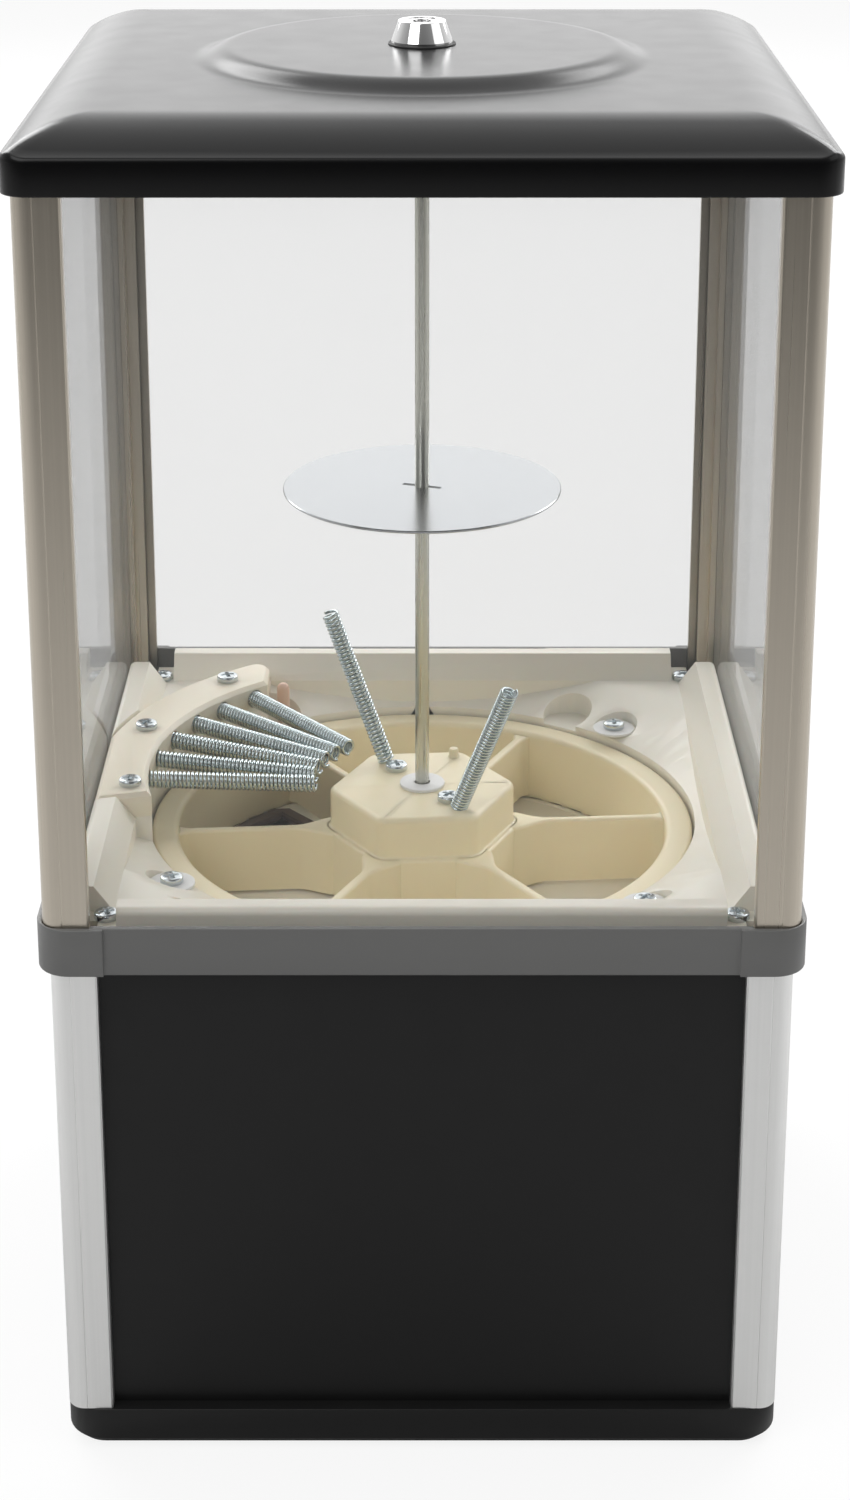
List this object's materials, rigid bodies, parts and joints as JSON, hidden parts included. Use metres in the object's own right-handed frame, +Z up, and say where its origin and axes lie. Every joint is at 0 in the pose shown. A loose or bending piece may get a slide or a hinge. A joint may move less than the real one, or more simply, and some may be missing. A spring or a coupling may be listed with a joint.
{
  "type": "gumball machine",
  "caption": "Square countertop gumball vending machine with clear hopper, portioning wheel fed past brush springs, coin handle, chute and lockable lid.",
  "frame": {"origin": "middle of the underside of the base pan, at the centre of its bolt pattern", "axes": "+Z up along the centre rod; the pictured rear faces -Y; coin handle and chute door face +Y"},
  "size_m": [0.25, 0.271, 0.468],
  "materials": {
    "black_gloss_plastic": "glossy moulded black",
    "black_plastic": "satin moulded black",
    "satin_aluminium": "satin anodised extrusion",
    "lower_post_aluminium": "satin clear anodised extrusion",
    "clear_window": "clear plastic sheet",
    "black_panel": "satin black paint",
    "grey_collar": "fine matt moulding",
    "ivory_plastic": "satin ivory moulding",
    "white_washer": "smooth white",
    "spring_steel": "zinc-plated wire",
    "zinc_steel": "bright zinc plate",
    "chrome": "polished",
    "cast_zinc": "as-cast",
    "bush_brass": "turned"
  },
  "bodies": {
    "cabinet": {"baffle_disc": "zinc_steel", "baffle_pin": "zinc_steel", "base": "black_plastic", "brush_springs": "spring_steel", "center_rod": "zinc_steel", "chute": "ivory_plastic", "coin_faceplate": "chrome", "coin_housing": "cast_zinc", "collar": "grey_collar", "cover_screws": "zinc_steel", "door_frame": "black_plastic", "door_frame_screws": "zinc_steel", "door_hinge_pin": "zinc_steel", "faceplate_screws": "zinc_steel", "front_panel": "black_panel", "hopper_tray": "ivory_plastic", "left_panel": "black_panel", "lower_post_front_left": "lower_post_aluminium", "lower_post_front_right": "lower_post_aluminium", "lower_post_rear_left": "lower_post_aluminium", "lower_post_rear_right": "lower_post_aluminium", "pawl_pin": "zinc_steel", "pawl_spring": "spring_steel", "rear_panel": "black_panel", "right_panel": "black_panel", "rod_nuts": "zinc_steel", "shaft_bush": "bush_brass", "spring_cover": "ivory_plastic", "tray_corner_screws": "zinc_steel", "upper_post_front_left": "satin_aluminium", "upper_post_front_right": "satin_aluminium", "upper_post_rear_left": "satin_aluminium", "upper_post_rear_right": "satin_aluminium", "well_floor": "ivory_plastic", "well_wall": "ivory_plastic", "wheel_keeper_screws": "zinc_steel", "wheel_keeper_washers": "white_washer", "window_front": "clear_window", "window_left": "clear_window", "window_rear": "clear_window", "window_right": "clear_window"},
    "lid": {"lid": "black_gloss_plastic", "lock_body": "chrome", "lock_nut": "chrome"},
    "lock": {"lock_plug": "chrome"},
    "wheel": {"wheel_rim": "ivory_plastic", "wheel_spokes": "ivory_plastic", "wheel_hub": "ivory_plastic", "wheel_gear_ring": "ivory_plastic", "hub_washer": "white_washer", "agitator_springs": "spring_steel", "agitator_screws": "zinc_steel"},
    "handle": {"coin_handle": "chrome", "handle_shaft": "zinc_steel", "shaft_clip": "zinc_steel", "coin_carrier": "cast_zinc", "ratchet_wheel": "zinc_steel", "drive_gear": "zinc_steel"},
    "pawl": {"ratchet_pawl": "zinc_steel"},
    "door": {"chute_door": "black_plastic"}
  },
  "joints": [
    {"name": "lid_lift", "type": "slide", "parent": "cabinet", "child": "lid", "axis": [0, 0, 1], "range_m": [0, 0.15]},
    {"name": "lock_turn", "type": "hinge", "parent": "lid", "child": "lock", "pos_m": [0, 0, 0.46], "axis": [0, 0, 1], "range_deg": [0, 90]},
    {"name": "wheel_turn", "type": "hinge", "parent": "cabinet", "child": "wheel", "pos_m": [0, 0, 0.165], "axis": [0, 0, 1], "continuous": true},
    {"name": "handle_turn", "type": "hinge", "parent": "cabinet", "child": "handle", "pos_m": [0, 0.12, 0.13362], "axis": [0, 1, 0], "continuous": true},
    {"name": "pawl_lift", "type": "hinge", "parent": "cabinet", "child": "pawl", "pos_m": [0.015, 0.0985, 0.12462], "axis": [0, 1, 0], "range_deg": [-12, 0]},
    {"name": "door_swing", "type": "hinge", "parent": "cabinet", "child": "door", "pos_m": [-0.056, 0.1192, 0.085], "axis": [1, 0, 0], "range_deg": [0, 80]}
  ],
  "couplings": [
    {"joint": "handle_turn", "follows": "wheel_turn", "ratio": -6}
  ]
}
